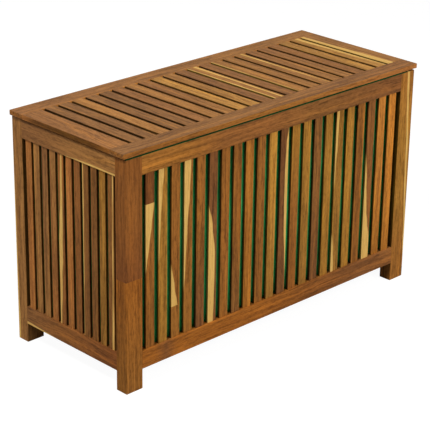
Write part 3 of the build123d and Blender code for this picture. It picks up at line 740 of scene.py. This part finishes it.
def liner_bag(corners, foot_z, top_z, slack_low, slack_high):
    """A bag lofted from the middle of its base: rings of one rounded outline grow outwards over the base,
    turn up round the foot and climb the walls. Between the rails each wall bellies out by the product of two
    flattened half waves, up it and along it, and has slow upright folds. The base lifts in low ripples."""
    ring, outward, run, share = rounded_outline(corners, liner_corner, liner_mesh_step)
    base_rings, foot_rings, wall_rings, innermost = 16, 5, 40, 0.04
    base_grow = np.linspace(innermost, 1, base_rings)[:-1]
    foot_turn = np.linspace(0, np.pi / 2, foot_rings)[:-1]
    climb = np.linspace(0, 1, wall_rings)
    drawn_in = np.concatenate([0 * base_grow, liner_foot * (1 - np.sin(foot_turn)), 0 * climb])
    wall_rise = liner_foot + climb * (top_z - foot_z - liner_foot)
    height = np.concatenate([0 * base_grow, liner_foot * (1 - np.cos(foot_turn)), wall_rise])
    grow = np.concatenate([base_grow, 1 + 0 * foot_turn, 1 + 0 * climb])
    on_wall = np.arange(len(grow)) >= len(base_grow)
    base = grow[:, None, None] * (ring - liner_foot * outward)
    wall = ring - drawn_in[:, None, None] * outward
    plan = np.where(on_wall[:, None, None], wall, base)

    zone = np.clip((foot_z + height - slack_low) / (slack_high - slack_low), 0, 1)[:, None]
    walked = share * run
    fold_pace, swell_pace, swell_start, sway, sway_pace = 41, 17, 2.1, 1.3, 5
    folds = np.sin(fold_pace * walked + sway * np.sin(sway_pace * zone))
    folds = folds * np.sin(swell_pace * walked + swell_start)
    fullness = np.where(run > long_run, wall_belly, end_belly) + liner_fold * folds
    belly = np.where(run > slack_run, fullness, 0.0)
    flatten_up, flatten_along = 0.35, 0.3
    push = belly * np.sin(np.pi * zone) ** flatten_up * np.sin(np.pi * share) ** flatten_along
    plan = plan + push[..., None] * outward

    x, y = plan[..., 0], plan[..., 1]
    long_pace, bend, bend_pace, cross_pace, cross_start = 23, 2, 17, 31, 0.7
    ripples = np.sin(x * long_pace + bend * np.sin(y * bend_pace)) * np.sin(y * cross_pace + cross_start)
    edge_fade = 8
    slack = np.clip((1 - grow[:, None]) * edge_fade, 0, 1)
    lift = np.where(on_wall[:, None], 0, base_ripple * (1 + ripples) * slack)
    points = np.concatenate([plan, (foot_z + height[:, None] + lift)[..., None]], -1)
    steps = np.linalg.norm(np.diff(points, axis=0), axis=-1)
    down_cloth = np.concatenate([0 * steps[:1], np.cumsum(steps, axis=0)])
    round_cloth = np.concatenate([[0], np.cumsum(np.linalg.norm(np.diff(ring, axis=0), axis=1))])
    return points, np.stack([np.broadcast_to(round_cloth, down_cloth.shape), down_cloth], -1)


def sewn_piece(name, points, faces, cloth_map, finish, *nodes):
    """A cloth surface with a map in metres along its threads, which rides with the box."""
    mesh = bpy.data.meshes.new(name)
    mesh.from_pydata(points.tolist(), [], faces)
    loops = np.concatenate([np.ravel(face) for face in faces])
    mesh.uv_layers.new(name="cloth").data.foreach_set("uv", cloth_map[loops].astype(np.float32).ravel())
    mesh.materials.append(finish)
    mesh.polygons.foreach_set("use_smooth", np.ones(len(faces), bool))
    sewn = bpy.data.objects.new(name, mesh)
    bpy.context.scene.collection.objects.link(sewn)
    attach(sewn, "box")
    if nodes:
        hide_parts(*nodes)
    return sewn


green_cloth = cloth_finish("green_liner_cloth", green=(44, 166, 88), deep=(34, 142, 72),
                           thread_pitch=0.0016, gloss=0.2, creased=True)
liner_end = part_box("liner_right_panel")[1] - liner_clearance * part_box("liner_right_panel")[1].normalized()
liner_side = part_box("liner_back_panel")[1] - liner_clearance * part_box("liner_back_panel")[1].normalized()
liner_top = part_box("liner_back_panel")[1].z - 2 * liner_clearance
quadrant = np.array([
    (liner_end.x, liner_end.y),
    (liner_side.x, liner_end.y),
    (liner_side.x, liner_side.y),
])
liner_plan = np.concatenate([
    quadrant,
    quadrant[::-1] * (-1, 1),
    quadrant * (-1, -1),
    quadrant[::-1] * (1, -1),
])
bag_points, bag_map = liner_bag(liner_plan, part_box("liner_base")[0].z, liner_top,
                                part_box("front_bottom_rail")[1].z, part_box("front_top_rail")[0].z)
bag_quads, bag_ends = tube_faces(*bag_points.shape[:2])
bag = sewn_piece("liner_bag", bag_points.reshape(-1, 3), bag_quads.tolist() + bag_ends[:1].tolist(),
                 bag_map.reshape(-1, 2), green_cloth, "liner_base", "liner_front_panel", "liner_back_panel",
                 "liner_left_panel", "liner_right_panel", "liner_corner_tucks")
thicken = bag.modifiers.new("cloth_thickness", "SOLIDIFY")
thicken.thickness, thicken.offset = liner_thickness, -1.0


# Liner hems: the bag's edge turned over twice and sewn, laid on the front and side rails and held by tacks.
# Its outer edge is a fuller roll that lies on the rail's arris.
# At the back it is turned down inside, clear of the hinges.
stitch_pitch = 0.0042
stitch_length = 0.0032
thread_radius = 0.0004
seam_inset = 0.0032
hem_round = 0.48
roll_start = 0.1
roll_swell = 1.25
roll_drop = 0.0003
roll_reach = 0.0014
# The binding is the bag's own cloth, coloured much darker: painted shade for the shade under the lid's front
# edge.
shaded_green_binding = cloth_finish("green_hem_binding_shaded", green=(8, 66, 32), deep=(6, 50, 24), thread_pitch=0.0012,
                             gloss=0.04)
green_thread = cloth_finish("green_thread", green=(44, 142, 82), deep=(30, 118, 62), thread_pitch=0.0005,
                            gloss=0.2)


def lockstitches(start, end, raised):
    """A row of lockstitches from one point to another: on every pitch an ellipsoid of thread, closed by a
    small face at both tips, its axis along the row and its middle on the cloth. raised is the cloth's
    normal."""
    rings, sides, tip = 5, 6, 0.12
    row = np.array(end) - np.array(start)
    length = np.linalg.norm(row)
    ahead = row / length
    sideways = np.cross(ahead, raised)
    lean = np.linspace(tip, 1 - tip, rings) * np.pi
    turn = np.linspace(0, 2 * np.pi, sides, endpoint=False)
    reach = -np.cos(lean)[:, None, None] * stitch_length / 2 * ahead
    swell = thread_radius * np.sin(lean)[:, None, None]
    hoop = np.cos(turn)[None, :, None] * sideways + np.sin(turn)[None, :, None] * np.array(raised)
    one = (reach + swell * hoop).reshape(-1, 3)
    middles = np.array(start) + np.arange(0.5, length / stitch_pitch)[:, None] * stitch_pitch * ahead
    quads, tips = tube_faces(rings, sides)
    shift = (np.arange(len(middles)) * len(one))[:, None, None]
    points = (middles[:, None] + one).reshape(-1, 3)
    return points, (quads + shift).reshape(-1, 4), (tips + shift).reshape(-1, sides)


seams = []
for side in ("front", "left", "right", "back"):
    node = f"liner_{side}_hem"
    low, high = box_corners(node)
    along = 0 if side in ("front", "back") else 1
    through = 1 if side == "back" else 2
    across = 3 - along - through
    thick = (high - low)[through]
    band = board(low, high, along, across, arris=hem_round * thick)
    inner_high = side in ("front", "left")
    if side != "back":
        outwards = -1 if inner_high else 1
        roll_middle = (low[across] if inner_high else high[across]) - outwards * thick / 2
        middle_z = (low + high)[2] / 2
        rolled = outwards * (band["points"][:, across] - roll_middle) > -roll_start * thick
        roll = band["points"][rolled]
        band["points"][rolled, across] = (outwards * roll_reach + roll_middle
                                          + roll_swell * (roll[:, across] - roll_middle))
        band["points"][rolled, 2] = middle_z - roll_drop + roll_swell * (roll[:, 2] - middle_z)
    hem_faces = band["quads"].tolist() + band["caps"].tolist()
    hem_map = np.delete(band["points"], through, axis=1)
    sewn_piece(node + "_sewn", band["points"], hem_faces, hem_map, shaded_green_binding, node)
    start, end = low.copy(), high.copy()
    start[across] = end[across] = high[across] - seam_inset if inner_high else low[across] + seam_inset
    start[through] = end[through] = low[through] if side == "back" else high[through]
    seams.append(lockstitches(start, end, (0, -1, 0) if side == "back" else (0, 0, 1)))
seam_starts = np.cumsum([0] + [len(points) for points, _, _ in seams])[:-1]
seam_points = np.concatenate([points for points, _, _ in seams])
seam_faces = [
    face
    for (_, quads, tips), start in zip(seams, seam_starts)
    for face in (quads + start).tolist() + (tips + start).tolist()
]
stitches = sewn_piece("liner_stitches", seam_points, seam_faces, seam_points[:, :2], green_thread)
plate("liner_tacks")


# Hinges: three steel butt hinges along the back, with knuckles rolled round a loose pin behind the lid.
# One leaf is screwed to the back rail and the other to the underside of the lid's back rail.
for spot in ("left", "middle", "right"):
    plate(f"hinge_{spot}_body_leaf", f"hinge_{spot}_lid_leaf", f"hinge_{spot}_pin")
plate("hinge_body_screws", "hinge_lid_screws")


# Lid frame: acacia, a front and a back rail over the full length with a board between them at each end.
# The boards are planed flush with the rails on top, and the arrises are eased for the hand.
# The edges show the wood's own redder tone, and the greyer tones of the top hold a painted sheen. The outer
# edges of the boards carry painted shade, darkest in the middle, and their inner edges the painted shade of
# the gap beside the slats.
lid_arris = 0.0016
lid_end_soak = 0.1
# The wood's own tone on the lid's edges; the greyer tones on the lid's top hold a painted sheen.
lid_edge_tone = ((0, "chestnut"), (0.5, "russet"), (1, "clay"))
# Painted shade along the end boards' outer edges, darkest over the middle of their length.
shadowed_edge = ((0, 0.1), (0.2, 0.75), (0.85, 0.75), (1, 0.1))
lid_cuts = {
    "lid_front_rail": (((0.5, "drift"), (1, "faded")), 0, (), (bare_edge, bare_edge)),
    "lid_back_rail": (((0, "faded"), (1, "dusty")), 0, (), (bare_edge, bare_edge)),
    "lid_left_board": ("faded", 1, (), (shadowed_edge, shaded_edge)),
    "lid_right_board": ("dusty", 1, ((0, -1, 0.34), (1, -1, 0.2)), (shaded_edge, shadowed_edge)),
}
lid_front_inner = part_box("lid_front_rail")[1].y - hidden_end
lid_back_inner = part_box("lid_back_rail")[0].y + hidden_end
for node, (tone, along, sapwood, edge_shade) in lid_cuts.items():
    low, high = box_corners(node)
    if along == 1:
        low[1], high[1] = lid_front_inner, lid_back_inner
    plank = board(low, high, along, 1 - along, tone=tone, sapwood=sapwood, arris=lid_arris,
                  edge_tone=lid_edge_tone, edge_shade=edge_shade, end_soak=lid_end_soak)
    joinery(node + "_oiled", [plank], oiled_wood, "lid", "oiled_wood", node)


# Lid slats: acacia slats running from front to back, tongued into the lid's long rails with even gaps.
# They are mixed in tone from the saw, and the top is planed level with the frame.
lid_slat_width = 0.036
lid_slat_arris = 0.0015
# The greyer tones here hold a painted sheen on the lid's top.
lid_slat_cuts = [
    "drift", "drift", "dusty", "drift", "drift", "faded", "dusty",
    ((0, "dusty"), (0.7, "faded")),
    "sand",
    ((0, "sand"), (1, "dusty")),
    "faded",
    [piece("dusty", (0, 0.66, 0.8), (1, 0.62, 0.88), far_sapwood=((0, -1, 0.1), (1, -1, 0.06)))],
    "faded",
    [piece("dusty", (0, -1, 0.04), (1, -1, 0.08))],
    "dusty",
    [piece("dusty", (0, 0.7, 0.8), (1, 0.62, 0.8))],
    ((0, "dusty"), (1, "faded")),
    ((0, "dusty"), (1, "faded")),
    "faded", "sand",
    [piece("sand", (0, 0.86, 2), (0.4, 0.72, 2), (1, 0.56, 2))],
]
low, high = box_corners("lid_slats")
low[1], high[1] = lid_front_inner, lid_back_inner
lid_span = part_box("lid_left_board")[1].x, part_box("lid_right_board")[0].x
lid_slats = slat_row(low, high, 1, 0, lid_span, lid_slat_width, lid_slat_cuts, arris=lid_slat_arris)
joinery("lid_slats_oiled", lid_slats, oiled_wood, "lid", "oiled_wood", "lid_slats")


# Lid battens: two battens under the slats, screwed up into every slat, so that the lid stays flat.
# They are dry acacia like the floor, and stop short of the box's sides.
for side, tone in (("front", "chestnut"), ("back", "olive")):
    node = f"lid_{side}_batten"
    batten = board(*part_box(node), 0, 1, tone=tone, arris=floor_arris)
    joinery(node + "_dry", [batten], dry_wood, "lid", "inner_wood", node)
plate("lid_batten_screws")


# Studio: a plain pale floor that stays white to the camera and keeps a soft shadow under the box.
# A broad soft lamp stands in front, one high on the left and a low one behind; the room fills in the rest.
def seen_by_camera(tree):
    """1 on rays from the camera, straight or by way of a mirror or glass, 0 on rays that light the box."""
    path = place(tree, "LightPath").outputs
    seen = reckon(tree, "MAXIMUM", path["Is Camera Ray"], path["Is Glossy Ray"])
    return reckon(tree, "MAXIMUM", seen, path["Is Transmission Ray"])


def floor_finish():
    """Pale floor: it scatters light as a pale matt surface, and shows the camera a white ground with a faint
    shadow."""
    finish = bpy.data.materials.new("studio_floor")
    finish.use_nodes = True
    tree = finish.node_tree
    tree.nodes.clear()
    pale_grey, shadow_grey, ground_white = (0.52, 0.52, 0.51, 1), (0.12, 0.12, 0.12, 1), 0.95
    matt = place(tree, "BsdfDiffuse", {"Color": pale_grey}).outputs[0]
    shadow = place(tree, "BsdfDiffuse", {"Color": shadow_grey}).outputs[0]
    white = place(tree, "Emission", {"Strength": ground_white}).outputs[0]
    shown = place(tree, "AddShader", {0: shadow, 1: white}).outputs[0]
    surface = place(tree, "MixShader", {0: seen_by_camera(tree), 1: matt, 2: shown}).outputs[0]
    place(tree, "OutputMaterial", {"Surface": surface})
    return finish


floor_reach = 14.0
floor_mesh = bpy.data.meshes.new("studio_floor")
floor_corners = [(x * floor_reach, y * floor_reach, 0) for x, y in ((-1, -1), (1, -1), (1, 1), (-1, 1))]
floor_mesh.from_pydata(floor_corners, [], [(0, 1, 2, 3)])
floor_mesh.materials.append(floor_finish())
studio_floor = bpy.data.objects.new("studio_floor", floor_mesh)
bpy.context.scene.collection.objects.link(studio_floor)

room = bpy.data.worlds.new("studio_room")
bpy.context.scene.world = room
room.use_nodes = True
room_tree = room.node_tree
room_light = 0.18
room_level = reckon(room_tree, "MULTIPLY_ADD", seen_by_camera(room_tree), 1 - room_light, room_light)
room_tree.links.new(room_level, room_tree.nodes["Background"].inputs["Strength"])
room_tree.nodes["Background"].inputs["Color"].default_value = (1, 1, 1, 1)


def look_from(place_from, target, roll=0.0):
    """A matrix at a place that looks at a target, with its own x axis level, then rolled by an angle."""
    back = np.array(place_from) - np.array(target)
    back = back / np.linalg.norm(back)
    level = np.cross([0, 0, 1.0], back)
    level = level / np.linalg.norm(level)
    rise = np.cross(back, level)
    right = level * np.cos(roll) + rise * np.sin(roll)
    up = rise * np.cos(roll) - level * np.sin(roll)
    turned = np.eye(4)
    turned[:3, 0], turned[:3, 1], turned[:3, 2], turned[:3, 3] = right, up, back, place_from
    return Matrix(turned.tolist())


lamp_target = (0, 0, 0.4)
for name, stand, size, energy in (
    ("key_lamp", (1.0, -3.2, 2.4), 2.2, 92.0),
    ("left_lamp", (-2.0, -0.7, 3.1), 0.8, 79.0),
    ("back_lamp", (-1.0, 3.4, 1.3), 1.8, 48.0),
):
    lamp_data = bpy.data.lights.new(name, "AREA")
    lamp_data.shape = "DISK"
    lamp_data.size = size
    lamp_data.energy = energy
    lamp = bpy.data.objects.new(name, lamp_data)
    lamp.matrix_world = look_from(stand, lamp_target)
    bpy.context.scene.collection.objects.link(lamp)

camera_data = bpy.data.cameras.new("camera")
camera_data.lens = 139.43
camera_data.sensor_width = 36.0
camera_azimuth, camera_elevation, camera_roll = np.radians([-44.506, 22.606, 0.901])
camera_distance = 4.698
camera_target = np.array([-0.0206, 0.0, 0.2872])
camera_back = np.array([
    np.sin(camera_azimuth) * np.cos(camera_elevation),
    -np.cos(camera_azimuth) * np.cos(camera_elevation),
    np.sin(camera_elevation),
])
camera = bpy.data.objects.new("camera", camera_data)
camera.matrix_world = look_from(camera_target + camera_distance * camera_back, camera_target, camera_roll)
bpy.context.scene.collection.objects.link(camera)
bpy.context.scene.camera = camera
bpy.context.scene.view_settings.view_transform = "Standard"
